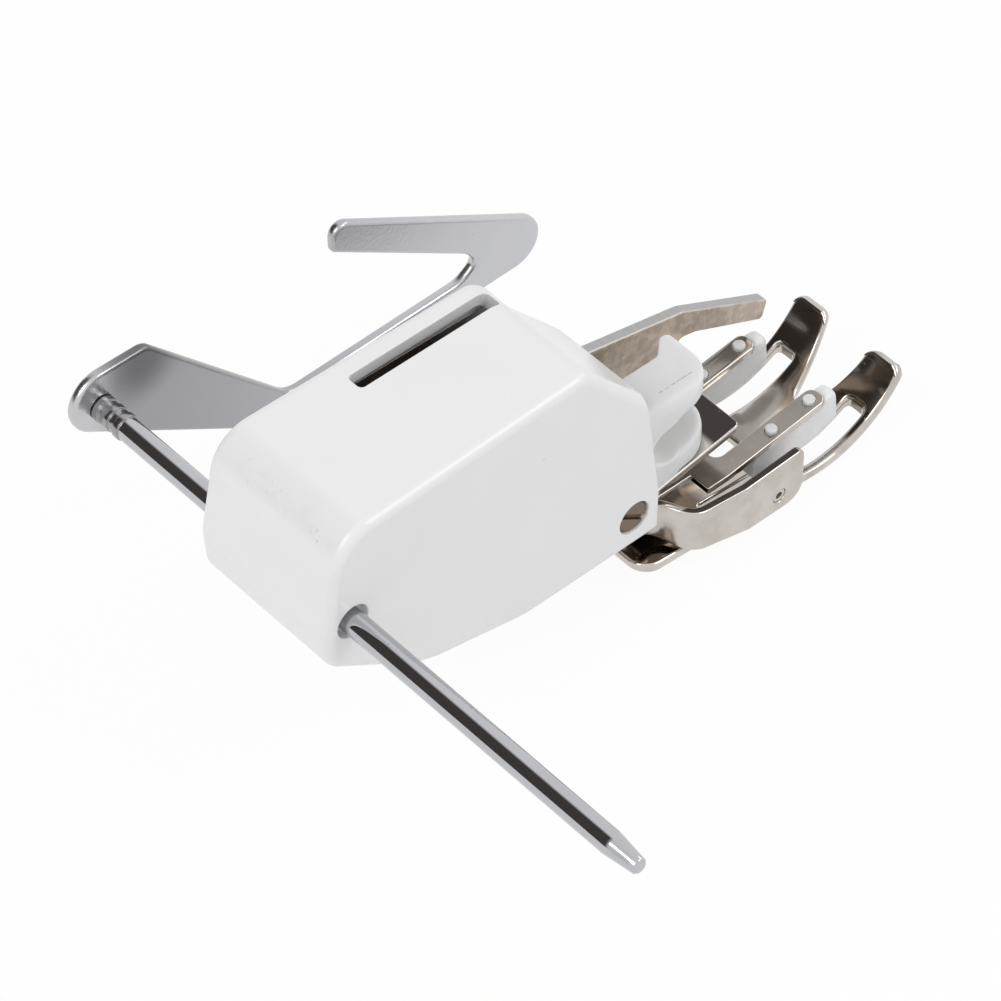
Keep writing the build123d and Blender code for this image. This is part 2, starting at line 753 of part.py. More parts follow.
# Two headed studs on the lifter that the feed carrier walks along.
with BuildPart() as walk_studs:
    with BuildSketch(Plane.YZ.offset(lifter_x)):
        with Locations((stud_front_y, stud_z), (stud_rear_y, stud_z)):
            Circle(stud_radius)
    extrude(amount=fin_x + fin_thick + side_gap - lifter_x)
    with BuildSketch(Plane.YZ.offset(fin_x + fin_thick + side_gap)):
        with Locations((stud_front_y, stud_z), (stud_rear_y, stud_z)):
            Circle(stud_head_radius)
    extrude(amount=0.4)
walk_studs.part.label = "walk_studs"
export_step(walk_studs.part, "parts/walk_studs.step")

# Coil round the left bush that presses the lifter down.
lift_coil_start = plate_left_x + sheet + 1.0
with BuildPart() as lift_spring:
    with BuildLine() as lift_path:
        Helix(0.8, 3.2, bush_radius + 0.6, (lift_coil_start, lifter_y, lifter_z), (1, 0, 0))
    with BuildSketch(Plane(lift_path.line @ 0, z_dir=lift_path.line % 0)):
        Circle(0.25)
    sweep(is_frenet=True)
lift_spring.part.label = "lift_spring"
export_step(lift_spring.part, "parts/lift_spring.step")

# Feed carrier: two strips that meet in a cross plate, and a slotted fin that walks on the studs.
strip_front_top = strip_rear_top + (strip_rear_y - strip_front_y) * pitch_rise
cross_rear = 1.4
cross_half = 3.5
with BuildPart() as feed_carrier:
    with BuildSketch(Plane.YZ.offset(foot_x - strip_outer)):
        with BuildLine():
            Polyline(
                (strip_rear_y + 2.6, strip_rear_top),
                (strip_rear_y, strip_rear_top),
                (strip_front_y, strip_front_top),
                (strip_front_y, strip_front_top - strip_thick),
                (strip_rear_y, strip_rear_top - strip_thick),
                (strip_rear_y + 2.6, strip_rear_top - strip_thick),
                close=True,
            )
        make_face()
    extrude(amount=2 * strip_outer)
    with BuildSketch(Plane((foot_x, 0, strip_rear_top - 2))):
        with BuildLine():
            FilletPolyline(
                (-strip_inner, strip_front_y - 1),
                (-strip_inner, strip_rear_y - 0.4),
                (strip_inner, strip_rear_y - 0.4),
                (strip_inner, strip_front_y - 1),
                radius=1.0,
            )
            Line((strip_inner, strip_front_y - 1), (-strip_inner, strip_front_y - 1))
        make_face()
        with Locations((-slot_mid_x, dot_rear_y), (-slot_mid_x, dot_front_y)):
            Circle(dot_radius + seat_gap)
        with Locations((slot_mid_x, dot_rear_y), (slot_mid_x, dot_front_y)):
            Circle(dot_radius + seat_gap)
    extrude(amount=6, mode=Mode.SUBTRACT)
    strip_ends = feed_carrier.faces().sort_by(Axis.Y)[:2]
    end_edges = strip_ends[0].edges() + strip_ends[1].edges()
    fillet(end_edges.filter_by(Axis.Z), strip_end_round)
    with BuildSketch(Plane.XY.offset(strip_rear_top - strip_thick)):
        with BuildLine():
            FilletPolyline(
                (foot_x - cross_half, strip_rear_y + 2.0),
                (foot_x - cross_half, cross_rear),
                (fin_x + fin_thick, cross_rear),
                (fin_x + fin_thick, strip_rear_y + 2.0),
                radius=0.8,
            )
            Line((fin_x + fin_thick, strip_rear_y + 2.0), (foot_x - cross_half, strip_rear_y + 2.0))
        make_face()
    extrude(amount=strip_thick)
    with BuildSketch(Plane.YZ.offset(fin_x)):
        with BuildLine():
            FilletPolyline(
                (cross_rear - 3.4, strip_rear_top - strip_thick),
                (cross_rear, strip_rear_top - strip_thick),
                (stud_front_y - 1.0, stud_z - 2.0),
                (fin_rear, stud_z - 2.0),
                (fin_rear, spring_z + 1.0),
                (fin_rear - 0.9, spring_z + 1.0),
                (fin_rear - 0.9, fin_top),
                (stud_front_y - walk_travel - 1.6, fin_top),
                (stud_front_y - walk_travel - 1.6, web_top),
                (cross_rear - 3.4, strip_rear_top - 0.1),
                radius=(0.2, 2.0, 0.5, 0.2, 0.2, 0.3, 0.8, 1.0),
            )
            Line(
                (cross_rear - 3.4, strip_rear_top - 0.1),
                (cross_rear - 3.4, strip_rear_top - strip_thick),
            )
        make_face()
        with Locations(((stud_front_y - walk_travel + stud_rear_y) / 2, stud_z)):
            SlotCenterToCenter(
                stud_rear_y - stud_front_y + walk_travel,
                2 * (stud_radius + run_gap),
                mode=Mode.SUBTRACT,
            )
    extrude(amount=fin_thick)
feed_carrier.part.label = "feed_carrier"
export_step(feed_carrier.part, "parts/feed_carrier.step")

# Feed pads moulded to fit under the strips, each staked by two studs.
pad_top_rear = strip_rear_top + (strip_rear_y - pad_rear_y) * pitch_rise - strip_thick - seat_gap
pad_top_front = strip_front_top - strip_thick - seat_gap
strip_wide = strip_outer - strip_inner
pad_wide = pad_outer - pad_inner
dot_rear_top = strip_rear_top + (strip_rear_y - dot_rear_y) * pitch_rise + dot_proud
dot_front_top = strip_rear_top + (strip_rear_y - dot_front_y) * pitch_rise + dot_proud
pad_points = (
    (pad_rear_y, pad_top_rear),
    (strip_front_y + 1.0, pad_top_front - pitch_rise),
    (strip_front_y + 1.0, strip_front_top - 0.1),
    (pad_front_y + 0.5, strip_front_top - 0.1),
    (pad_front_y, pad_top_front - pad_tall),
    (pad_rear_y, pad_top_rear - pad_tall + 0.2),
)
with BuildPart() as feed_pad_left:
    with BuildSketch(Plane.YZ.offset(foot_x - pad_outer)):
        with BuildLine():
            FilletPolyline(*pad_points, radius=(0.3, 0.05, 0.2, 0.7, 1.1, 0.6), close=True)
        make_face()
    extrude(amount=pad_wide)
    with BuildSketch(Plane((foot_x - slot_mid_x, pad_front_y, pad_top_rear - pad_tall - 2))):
        with Locations((0, pad_wide)):
            RectangleRounded(pad_wide, 2 * pad_wide, pad_wide / 2 - 0.05)
        with Locations((0, 2 * pad_wide + 5)):
            Rectangle(pad_wide, 3 * pad_wide + 10)
    extrude(amount=2 * pad_tall + 6, mode=Mode.INTERSECT)
    with BuildSketch(Plane((foot_x - slot_mid_x, strip_front_y - run_gap, pad_top_front - 1.1 * pitch_rise))):
        with Locations((0, 2)):
            RectangleRounded(strip_wide + 2 * run_gap, 4, strip_end_round + run_gap)
    extrude(amount=strip_thick + 2, mode=Mode.SUBTRACT)
    with BuildSketch(Plane((foot_x - slot_mid_x, dot_rear_y, dot_rear_top))):
        Circle(dot_radius)
    extrude(amount=-strip_thick - dot_proud - 0.8)
    with BuildSketch(Plane((foot_x - slot_mid_x, dot_front_y, dot_front_top))):
        Circle(dot_radius)
    extrude(amount=-strip_thick - dot_proud - 0.8)
feed_pad_left.part.label = "feed_pad_left"
export_step(feed_pad_left.part, "parts/feed_pad_left.step")

with BuildPart() as feed_pad_right:
    add(mirror(feed_pad_left.part, about=Plane.YZ.offset(foot_x)))
feed_pad_right.part.label = "feed_pad_right"
export_step(feed_pad_right.part, "parts/feed_pad_right.step")

# Coil that draws the carrier forward again after each stitch.
walk_coil_start = tab_y + 0.4 + 0.45
walk_coil_long = fin_rear - 0.9 - 0.45 - walk_coil_start
with BuildPart() as walk_spring:
    with BuildLine() as walk_path:
        Helix(
            walk_coil_long / 4,
            walk_coil_long,
            0.65,
            (fin_x + fin_thick / 2, walk_coil_start, spring_z),
            (0, 1, 0),
        )
    with BuildSketch(Plane(walk_path.line @ 0, z_dir=walk_path.line % 0)):
        Circle(0.2)
    sweep(is_frenet=True)
walk_spring.part.label = "walk_spring"
export_step(walk_spring.part, "parts/walk_spring.step")

# Guide rod turned with a tapered tip, a ringed collar and a riveted neck.
collar_left = guide_x - side_gap - collar_long
ring = collar_long / 5
with BuildPart() as guide_rod:
    with BuildSketch(Plane.XZ.offset(-rod_y)):
        with BuildLine():
            Polyline(
                (rod_tip_x, rod_z),
                (rod_tip_x, rod_z + rod_tip_radius - 0.2),
                (rod_tip_x + 0.2, rod_z + rod_tip_radius),
                (rod_tip_x + rod_taper, rod_z + rod_radius),
                (collar_left, rod_z + rod_radius),
                (collar_left, rod_z + collar_radius),
                (collar_left + ring, rod_z + collar_radius),
                (collar_left + ring, rod_z + rod_radius),
                (collar_left + 2 * ring, rod_z + rod_radius),
                (collar_left + 2 * ring, rod_z + collar_radius),
                (collar_left + 3 * ring, rod_z + collar_radius),
                (collar_left + 3 * ring, rod_z + rod_radius),
                (collar_left + 4 * ring, rod_z + rod_radius),
                (collar_left + 4 * ring, rod_z + collar_radius),
                (collar_left + 5 * ring, rod_z + collar_radius),
                (collar_left + 5 * ring, rod_z + rod_neck_radius),
                (guide_x + guide_thick + side_gap, rod_z + rod_neck_radius),
                (guide_x + guide_thick + side_gap, rod_z + collar_radius),
                (guide_x + guide_thick + side_gap + 0.3, rod_z + collar_radius),
                (guide_x + guide_thick + side_gap + 0.7, rod_z + 0.8),
                (guide_x + guide_thick + side_gap + 0.7, rod_z),
                close=True,
            )
        make_face()
    revolve(axis=Axis((0, rod_y, rod_z), (1, 0, 0)))
guide_rod.part.label = "guide_rod"
export_step(guide_rod.part, "parts/guide_rod.step")

# Guide plate: a flat plate bent back on itself in its own plane, like a hook.
guide_points = (
    (rod_y + guide_back, rod_z + guide_head),
    (rod_y - 5.5, rod_z + guide_head - 0.15),
    (rod_y - 21.6, rod_z + guide_foot + 2.8),
    (rod_y - 42.7, rod_z + guide_foot + 3.4),
    (rod_y - 44.7, rod_z + guide_foot + 4.9),
    (rod_y - 43.5, rod_z + guide_foot + 6.6),
    (rod_y + guide_arm_end, rod_z + guide_arm_low),
    (rod_y + guide_arm_end, rod_z + guide_arm_top),
    (rod_y + guide_toe, rod_z + guide_toe_drop),
    (rod_y + guide_foot_rear, rod_z + guide_foot),
)
guide_bends = (guide_lobe, 1.8, 3.2, 3.0, 1.0, 3.0, 0.5, 1.3, guide_toe_round, 3.0)
with BuildPart() as guide_plate:
    with BuildSketch(Plane.YZ.offset(guide_x)):
        with BuildLine():
            FilletPolyline(*guide_points, radius=guide_bends, close=True)
        make_face()
        with Locations((rod_y, rod_z)):
            Circle(rod_neck_radius + run_gap, mode=Mode.SUBTRACT)
    extrude(amount=guide_thick)
guide_plate.part.label = "guide_plate"
export_step(guide_plate.part, "parts/guide_plate.step")
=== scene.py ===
import json
from functools import reduce
from math import radians

import bpy
from mathutils import Euler, Matrix, Vector
from mathutils.geometry import delaunay_2d_cdt

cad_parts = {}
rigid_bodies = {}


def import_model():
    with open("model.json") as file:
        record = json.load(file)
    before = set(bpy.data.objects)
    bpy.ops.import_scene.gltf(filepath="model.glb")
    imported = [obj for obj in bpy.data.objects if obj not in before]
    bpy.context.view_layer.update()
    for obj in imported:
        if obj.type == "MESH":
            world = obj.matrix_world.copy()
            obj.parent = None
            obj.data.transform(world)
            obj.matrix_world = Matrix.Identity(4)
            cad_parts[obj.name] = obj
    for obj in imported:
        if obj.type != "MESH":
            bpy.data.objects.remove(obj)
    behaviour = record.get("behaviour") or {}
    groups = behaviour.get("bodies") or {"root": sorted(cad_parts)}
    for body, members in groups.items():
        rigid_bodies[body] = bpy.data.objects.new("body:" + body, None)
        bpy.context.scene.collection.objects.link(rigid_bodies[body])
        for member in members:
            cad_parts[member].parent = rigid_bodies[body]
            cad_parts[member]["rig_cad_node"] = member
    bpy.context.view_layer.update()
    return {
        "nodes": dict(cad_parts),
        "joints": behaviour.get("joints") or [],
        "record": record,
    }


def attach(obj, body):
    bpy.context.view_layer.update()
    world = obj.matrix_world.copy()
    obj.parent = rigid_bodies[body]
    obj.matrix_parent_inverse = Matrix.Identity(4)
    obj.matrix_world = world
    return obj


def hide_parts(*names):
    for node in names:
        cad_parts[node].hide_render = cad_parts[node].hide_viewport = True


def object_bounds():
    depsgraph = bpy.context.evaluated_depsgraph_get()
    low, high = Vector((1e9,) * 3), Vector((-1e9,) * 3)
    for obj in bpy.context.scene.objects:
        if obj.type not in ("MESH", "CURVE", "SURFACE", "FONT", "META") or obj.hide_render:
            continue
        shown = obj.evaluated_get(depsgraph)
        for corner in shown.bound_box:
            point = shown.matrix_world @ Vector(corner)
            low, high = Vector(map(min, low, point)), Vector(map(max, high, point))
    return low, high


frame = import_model()
nodes = frame["nodes"]
body_of = {n: b for b, group in frame["record"]["behaviour"]["bodies"].items() for n in group}
slot_of = {s["node"]: s["material_slot"] for s in frame["record"]["subparts"]}
MM = 0.001

# Places on the part, in millimetres: X is sideways, Y points to the rear, Z up.
guide_turn = next(joint for joint in frame["joints"] if joint["name"] == "guide_turn")
_, rod_y, rod_z = Vector(guide_turn["pos_m"]) / MM
bore_rim = (1.9, 2.2)
rear_edge = 40.7
rear_slope = 0.05
cover_middle = (0.6, 24.0, 5.0)
slot_edge = 17.1
far_edge_drop = 1.1
mould_line = -3.57
tongue_middle = -2.6
foot_middle = -0.5
guide_painted_shade_spot = (26.5, 35.2, 10.3)
collar_edge = (22.6, 23.0)
block_soft_from = -1.0
block_soft_below = 3.2
pad_soft_from = -18.7

# Specks on the cover: place, radius of the core and radius of the whole speck, in millimetres.
cover_specks = (
    ((-7.6, 17.24, 11.94), 0.05, 0.3),
    ((-7.6, 14.86, 8.6), 0.04, 0.22),
    ((-7.7, 18.42, 9.83), 0.05, 0.25),
    ((4.4, 42.7, 15.8), 0.06, 0.4),
    ((2.4, 42.2, 17.2), 0.05, 0.3),
)

# How the copies of the solids are worked: lengths in millimetres, areas in their squares, angles in degrees.
seam_width = 0.002
level_within = 0.6
eased_above = 34.0
smooth_below = 36.0
crossed_area = 0.002
crossing_gap = 1e-5

# The wedge that opens the cover on the right of the lever's gate, in millimetres.
gate_left = 6.6
gate_right = 10.5
gate_front = 2.5
gate_rear = 10.5
gate_low_front = 5.8
gate_low_rear = 14.9
gate_top = 20.0

# The studio: lengths in metres, angles in degrees, the camera's sensor and lens in millimetres.
white = (1.0, 1.0, 1.0)
floor_side = 6.0
floor_gap = 0.0006
lamps_aim = (0, 0.01, 0)
camera_spot = (-0.264401, 0.248309, 0.37616)
camera_turn = (43.07971, 0.17758, -131.5199)
camera_sensor = 36.0
camera_lens = 205.714


class Amount:
    """A shader socket that can stand in a sum."""

    def __init__(self, finish, socket):
        self.finish = finish
        self.socket = socket

    def math(self, operation, first, second=0.0):
        return self.finish.add("ShaderNodeMath", {"operation": operation}, {0: first, 1: second})

    def __add__(self, other):
        return self.math("ADD", self, other)

    def __radd__(self, other):
        return self.math("ADD", other, self)

    def __sub__(self, other):
        return self.math("SUBTRACT", self, other)

    def __rsub__(self, other):
        return self.math("SUBTRACT", other, self)

    def __mul__(self, other):
        return self.math("MULTIPLY", self, other)

    def __rmul__(self, other):
        return self.math("MULTIPLY", other, self)

    def __pow__(self, other):
        return self.math("POWER", self, other)

    def __abs__(self):
        return self.math("ABSOLUTE", self)

    def most(self, other):
        return self.math("MAXIMUM", self, other)


class Finish:
    """The nodes of a procedural material or of the world, with patterns measured in millimetres."""

    def __init__(self, name, tree=None):
        if tree is None:
            self.material = bpy.data.materials.new(name)
            self.material.use_nodes = True
            tree = self.material.node_tree
        self.tree = tree
        self.shader = tree.nodes.get("Principled BSDF")
        self.kept = {}

    def add(self, kind, settings=None, inputs=None, out=0):
        node = self.tree.nodes.new(kind)
        for key, value in (settings or {}).items():
            setattr(node, key, value)
        for key, value in (inputs or {}).items():
            self.feed(node.inputs[key], value)
        return Amount(self, node.outputs[out])

    def feed(self, socket, value):
        if isinstance(value, Amount):
            self.tree.links.new(value.socket, socket)
        elif socket.type == "RGBA" and len(value) == 3:
            socket.default_value = (*value, 1.0)
        else:
            socket.default_value = value

    def set(self, **values):
        for key, value in values.items():
            self.feed(self.shader.inputs[key.replace("_", " ")], value)

    def vector(self, operation, first, second, out=0):
        return self.add("ShaderNodeVectorMath", {"operation": operation}, {0: first, 1: second}, out)

    def part(self, vector, axis):
        return self.add("ShaderNodeSeparateXYZ", None, {0: vector}, axis)

    def place(self):
        if "place" not in self.kept:
            spot = self.add("ShaderNodeTexCoord", out="Object")
            self.kept["place"] = self.add(
                "ShaderNodeVectorMath", {"operation": "SCALE"}, {0: spot, "Scale": 1 / MM}
            )
        return self.kept["place"]

    def along(self, axis):
        if axis not in self.kept:
            self.kept[axis] = self.part(self.place(), axis)
        return self.kept[axis]

    def normal(self):
        return self.add("ShaderNodeTexCoord", out="Normal")

    def facing(self, axis):
        return self.part(self.normal(), axis)

    def stretched(self, x, y, z):
        return self.vector("MULTIPLY", self.place(), (x, y, z))

    def noise(self, size, detail=3.0, rough=0.55, place=None, seed=0.0):
        spot = place or self.place()
        if seed:
            spot = self.vector("ADD", spot, (seed, -seed, 2 * seed))
        inputs = {"Vector": spot, "Scale": 1.0 / size, "Detail": detail, "Roughness": rough}
        return self.add("ShaderNodeTexNoise", None, inputs)

    def cells(self, size, seed):
        spot = self.vector("ADD", self.place(), (seed, seed, seed))
        return self.add("ShaderNodeTexVoronoi", None, {"Vector": spot, "Scale": 1.0 / size})

    def between(self, value, low, high, at_low, at_high):
        inputs = {0: value, 1: low, 2: high, 3: at_low, 4: at_high}
        return self.add("ShaderNodeMapRange", {"interpolation_type": "SMOOTHSTEP"}, inputs)

    def rising(self, value, low, high):
        return self.between(value, low, high, 0.0, 1.0)

    def falling(self, value, low, high):
        return self.between(value, low, high, 1.0, 0.0)

    def near(self, spot, inner, outer):
        return self.falling(self.vector("DISTANCE", self.place(), spot, "Value"), inner, outer)

    def blend(self, share, first, second):
        inputs = {0: share, 6: first, 7: second}
        return self.add("ShaderNodeMix", {"data_type": "RGBA"}, inputs, 2)

    def ray(self, kind):
        return self.add("ShaderNodeLightPath", out=f"Is {kind} Ray")

    def relief(self, height, depth):
        inputs = {"Strength": 1.0, "Distance": depth * MM, "Height": height}
        self.set(Normal=self.add("ShaderNodeBump", None, inputs))


def white_moulding():
    # Gloss white cover: clouding, a scuffed streak over the rear edge, stray specks, painted shade inside and
    # a painted highlight along the slot's far wall.
    f = Finish("white_moulding")
    x, y, z = f.along("X"), f.along("Y"), f.along("Z")
    shell = f.blend(f.noise(7.0, 2.0), (0.80, 0.80, 0.80), (0.835, 0.835, 0.83))
    streak = f.falling(abs(y - rear_edge + rear_slope * x), 0.2, 1.5) * f.rising(z, 15.0, 17.0)
    streak = streak * f.rising(x, -7.2, -5.5) * f.falling(x, 5.0, 6.4)
    grit = f.rising(f.noise(0.34, 5.0, 0.75), 0.55, 0.70)
    patch = f.rising(f.noise(2.6, 2.0, seed=4.0), 0.42, 0.6)
    scuff = streak * grit * patch
    shell = f.blend(scuff * 0.8, shell, (0.46, 0.33, 0.30))
    halo = streak * f.rising(f.noise(1.7, 3.0, seed=2.0), 0.45, 0.75)
    shell = f.blend(halo * 0.16, shell, (0.62, 0.47, 0.43))
    specks = reduce(Amount.most, [f.near(*speck) for speck in cover_specks])
    specks = specks * f.rising(f.noise(0.2, 3.0, seed=7.0), 0.4, 0.55)
    shell = f.blend(specks * 0.6, shell, (0.30, 0.26, 0.24))
    # Painted shade: walls that face the cover's middle are painted dark brown, below the slot's edge and
    # clear of the rod's bore.
    outward = f.vector("DOT_PRODUCT", f.vector("SUBTRACT", f.place(), cover_middle), f.normal(), "Value")
    far_wall = f.rising(x, 5.8, 6.2)
    depth = z - slot_edge + far_edge_drop * far_wall
    from_rod = ((y - rod_y) ** 2 + (z - rod_z) ** 2) ** 0.5
    painted_inside_shade = f.falling(outward, -1.0, -0.2) * f.falling(depth, -0.05, 0.05)
    painted_inside_shade = painted_inside_shade * f.rising(y, 8.0, 14.0) * f.rising(from_rod, *bore_rim)
    shell = f.blend(painted_inside_shade, shell, (0.05, 0.036, 0.028))
    # Painted highlight: a pale line along the far wall of the slot, within the painted shade.
    painted_rim_highlight = f.falling(abs(depth + 0.16), 0.06, 0.12) * far_wall * painted_inside_shade * f.rising(y, 12.0, 12.4)
    shell = f.blend(painted_rim_highlight, shell, (0.80, 0.76, 0.72))
    f.set(Base_Color=shell, Roughness=0.2 + 0.1 * f.noise(3.0, 4.0, seed=9.0) + 0.3 * scuff)
    f.set(IOR=1.5)
    f.relief(f.noise(1.1, 2.0, seed=5.0) - 0.6 * scuff, depth=0.006)
    return f.material


def milky_nylon():
    # Nylon: soft white with a broken mould line over the top of the shank block.
    f = Finish("milky_nylon")
    x, y, z = f.along("X"), f.along("Y"), f.along("Z")
    body = f.blend(f.noise(2.8, 3.0), (0.71, 0.71, 0.705), (0.78, 0.78, 0.775))
    line = f.falling(abs(x - mould_line), 0.03, 0.09) * f.rising(z, 4.0, 4.4)
    line = line * f.rising(y, -4.6, -4.3) * f.falling(y, -0.4, -0.1)
    dashes = f.rising(f.noise(0.6, 2.0, place=f.stretched(0.0, 1.0, 0.0)), 0.42, 0.55)
    body = f.blend(line * dashes * 0.7, body, (0.30, 0.27, 0.25))
    f.set(Base_Color=body, Roughness=0.34 + 0.16 * f.noise(1.4, 4.0, seed=3.0))
    f.set(Subsurface_Weight=0.5, Subsurface_Radius=(0.0012, 0.0011, 0.001), Subsurface_Scale=1.0)
    f.relief(f.noise(0.7, 3.0, seed=6.0), depth=0.008)
    return f.material


def clear_rubber():
    # Moulded feed pads: milky, hazy inside.
    f = Finish("clear_rubber")
    haze = f.blend(f.noise(1.6, 3.0), (0.74, 0.745, 0.745), (0.82, 0.82, 0.815))
    f.set(Base_Color=haze, Roughness=0.3 + 0.2 * f.noise(0.9, 3.0, seed=2.0))
    f.set(Subsurface_Weight=0.6, Subsurface_Radius=(0.0016, 0.0017, 0.0018), Subsurface_Scale=1.0)
    f.relief(f.noise(0.5, 3.0, seed=8.0), depth=0.006)
    return f.material


def bright_nickel(name, polish, brown, specks, painted_dark_flats):
    # Nickel plate: warm grey with brownish clouding, pale specks, and a painted dark reflection on the flats
    # that each caller picks.
    f = Finish(name)
    cloud = f.noise(3.2, 3.0)
    plate = f.blend(f.rising(cloud, 0.35, 0.7), (0.58, 0.545, 0.51), (0.50, 0.46, 0.42))
    stain = f.rising(f.noise(5.0, 4.0, seed=11.0), 0.5, 0.72)
    plate = f.blend(stain * brown, plate, (0.30, 0.24, 0.19))
    # Painted reflection: the flats that the caller picks are painted dark.
    share, tone = painted_dark_flats(f)
    plate = f.blend(share, plate, tone)
    dots = f.falling(f.cells(0.9, 3.0), 0.05, 0.1) * f.rising(f.noise(2.0, seed=5.0), 0.5, 0.6)
    plate = f.blend(dots * specks, plate, (0.86, 0.85, 0.84))
    f.set(Base_Color=plate, Metallic=1.0)
    f.set(Roughness=polish + 0.07 * f.noise(1.3, 4.0, seed=7.0) + 0.2 * specks * dots)
    f.relief(f.noise(1.6, 2.0, seed=1.0) + 0.5 * dots, depth=0.004)
    return f.material


def painted_reflection_tongue_and_rims(f):
    # Painted dark reflection on the tongue's top and the upper rims of the arms.
    x, y = f.along("X"), f.along("Y")
    tongue = f.falling(y, -6.0, -5.0) * f.falling(abs(x - tongue_middle), 3.2, 3.6)
    rims = f.rising(abs(x - foot_middle), 6.9, 7.2) * f.falling(y, 6.0, 8.0)
    return f.rising(f.facing("Z"), 0.93, 0.975) * tongue.most(rims), (0.055, 0.047, 0.043)


def painted_reflection_strip_tops(f):
    # Painted reflection: the strips' tops painted darker than their edges.
    tone = f.blend(f.noise(2.2, 3.0, seed=6.0), (0.24, 0.215, 0.195), (0.36, 0.33, 0.305))
    return f.rising(f.facing("Z"), 0.95, 0.985), tone


def painted_shade_and_reflection_sole(f):
    # Painted shade and dark reflection on the rear of the sole under the housing, and painted dark reflection
    # on the inner sides of the toes.
    rear = f.rising(f.along("Y"), -8.0, -5.0) * f.rising(f.facing("Z"), 0.9, 0.97)
    toes = f.falling(f.along("Y"), -21.0, -18.5) * f.rising(f.facing("Y"), 0.2, 0.45)
    toes = toes * f.falling(abs(f.facing("X")), 0.12, 0.3)
    tone = f.blend(f.noise(2.0, 3.0, seed=13.0), (0.24, 0.20, 0.17), (0.33, 0.30, 0.27))
    return rear.most(toes), f.blend(rear, tone, (0.15, 0.122, 0.102))


def punched_lever():
    # Lever: mottled brown faces left by the press with painted highlights in pale patches, pale edges with
    # fine shear lines.
    f = Finish("punched_lever")
    side = f.rising(abs(f.facing("X")), 0.55, 0.85)
    mottle = f.noise(1.1, 5.0, 0.62)
    face = f.blend(f.rising(mottle, 0.4, 0.62), (0.52, 0.44, 0.37), (0.68, 0.59, 0.505))
    # Painted highlights: pale patches over the faces.
    pale = f.rising(f.noise(0.7, 4.0, 0.7, seed=4.0), 0.58, 0.72)
    face = f.blend(pale, face, (0.79, 0.72, 0.64))
    lines = f.noise(0.16, 2.0, 0.6, place=f.stretched(0.12, 1.0, 0.4))
    edge = f.blend(lines, (0.34, 0.33, 0.325), (0.50, 0.49, 0.48))
    f.set(Base_Color=f.blend(side, edge, face), Metallic=1.0)
    f.set(Roughness=0.3 + 0.12 * mottle - 0.06 * side)
    f.relief(mottle * side + 0.35 * lines * (1 - side), depth=0.03)
    return f.material


def guide_chrome():
    # Chromed guide plate: cool grey with painted reflection and shade, darker toward the rear lobe with a
    # painted dark spot on it, a painted pale reflection at its end, and a slight orange peel.
    f = Finish("guide_chrome")
    y = f.along("Y")
    # Painted reflection and shade: the gradient toward the rear, the pale end and the dark spot on the lobe.
    plate = f.blend(f.rising(y, -10.0, 38.0), (0.58, 0.582, 0.615), (0.335, 0.335, 0.353))
    plate = f.blend(f.rising(y, 37.5, 41.5) * 0.7, plate, (0.70, 0.70, 0.71))
    plate = f.blend(f.near(guide_painted_shade_spot, 0.8, 6.0) * 0.8, plate, (0.09, 0.09, 0.094))
    plate = f.blend(f.noise(4.0, 3.0) * 0.2, plate, (0.36, 0.362, 0.37))
    dust = f.falling(f.cells(1.3, 6.0), 0.03, 0.06)
    plate = f.blend(dust * 0.35, plate, (0.30, 0.30, 0.30))
    f.set(Base_Color=plate, Metallic=1.0)
    f.set(Roughness=0.22 + 0.06 * f.noise(2.0, 4.0, seed=3.0) + 0.1 * dust)
    f.relief(f.noise(0.45, 3.0, 0.6, seed=9.0), depth=0.022)
    return f.material


def rod_chrome():
    # Drawn and chromed rod: near mirror, cool, with faint dulling and a greyer collar.
    f = Finish("rod_chrome")
    skin = f.blend(f.noise(4.0, 3.0), (0.46, 0.463, 0.49), (0.55, 0.553, 0.58))
    collar = f.rising(f.along("X"), *collar_edge)
    skin = f.blend(collar, skin, (0.36, 0.355, 0.36))
    f.set(Base_Color=skin, Metallic=1.0)
    f.set(Roughness=0.05 + 0.05 * f.noise(2.0, 4.0, seed=3.0) + 0.12 * collar)
    f.relief(f.noise(0.9, 2.0, seed=9.0), depth=0.002)
    return f.material


def plain_steel(name, tone, rough):
    # Turned or drawn steel with fine lines round the work.
    f = Finish(name)
    rings = f.noise(0.25, 3.0, 0.6, place=f.stretched(1.0, 0.25, 0.25))
    pale = tuple(min(1.0, 1.18 * c) for c in tone)
    f.set(Base_Color=f.blend(rings, tone, pale), Metallic=1.0)
    f.set(Roughness=rough + 0.15 * f.noise(0.8, 4.0, seed=2.0))
    f.relief(rings, depth=0.006)
    return f.material


def floor_paper():
    # White paper, which glows wherever it is seen and so keeps only a faint shadow.
    f = Finish("floor_paper")
    f.set(Base_Color=(0.86, 0.86, 0.86), Roughness=0.9)
    seen = f.ray("Camera").most(f.ray("Glossy")).most(f.ray("Transmission"))
    glow = f.add("ShaderNodeEmission", None, {"Color": white, "Strength": 1.0})
    matt = Amount(f, f.shader.outputs[0])
    surface = f.add("ShaderNodeMixShader", None, {0: seen * 0.95, 1: matt, 2: glow})
    f.feed(f.tree.nodes["Material Output"].inputs["Surface"], surface)
    return f.material


def light_room(world):
    # White room, soft on the part, with a dim corner at the rear right that only mirrors see.
    world.use_nodes = True
    f = Finish(world.name, world.node_tree)
    toward = f.add("ShaderNodeTexCoord", out="Generated")
    dim = f.rising(f.part(toward, "Y"), -0.20, 0.16) * f.rising(f.part(toward, "X"), 0.22, 0.40)
    mirrored = f.blend(dim, white, (0.075, 0.067, 0.062))
    soft = f.blend(f.ray("Glossy"), (0.62, 0.62, 0.63), mirrored)
    f.feed(f.tree.nodes["Background"].inputs["Color"], f.blend(f.ray("Camera"), soft, white))


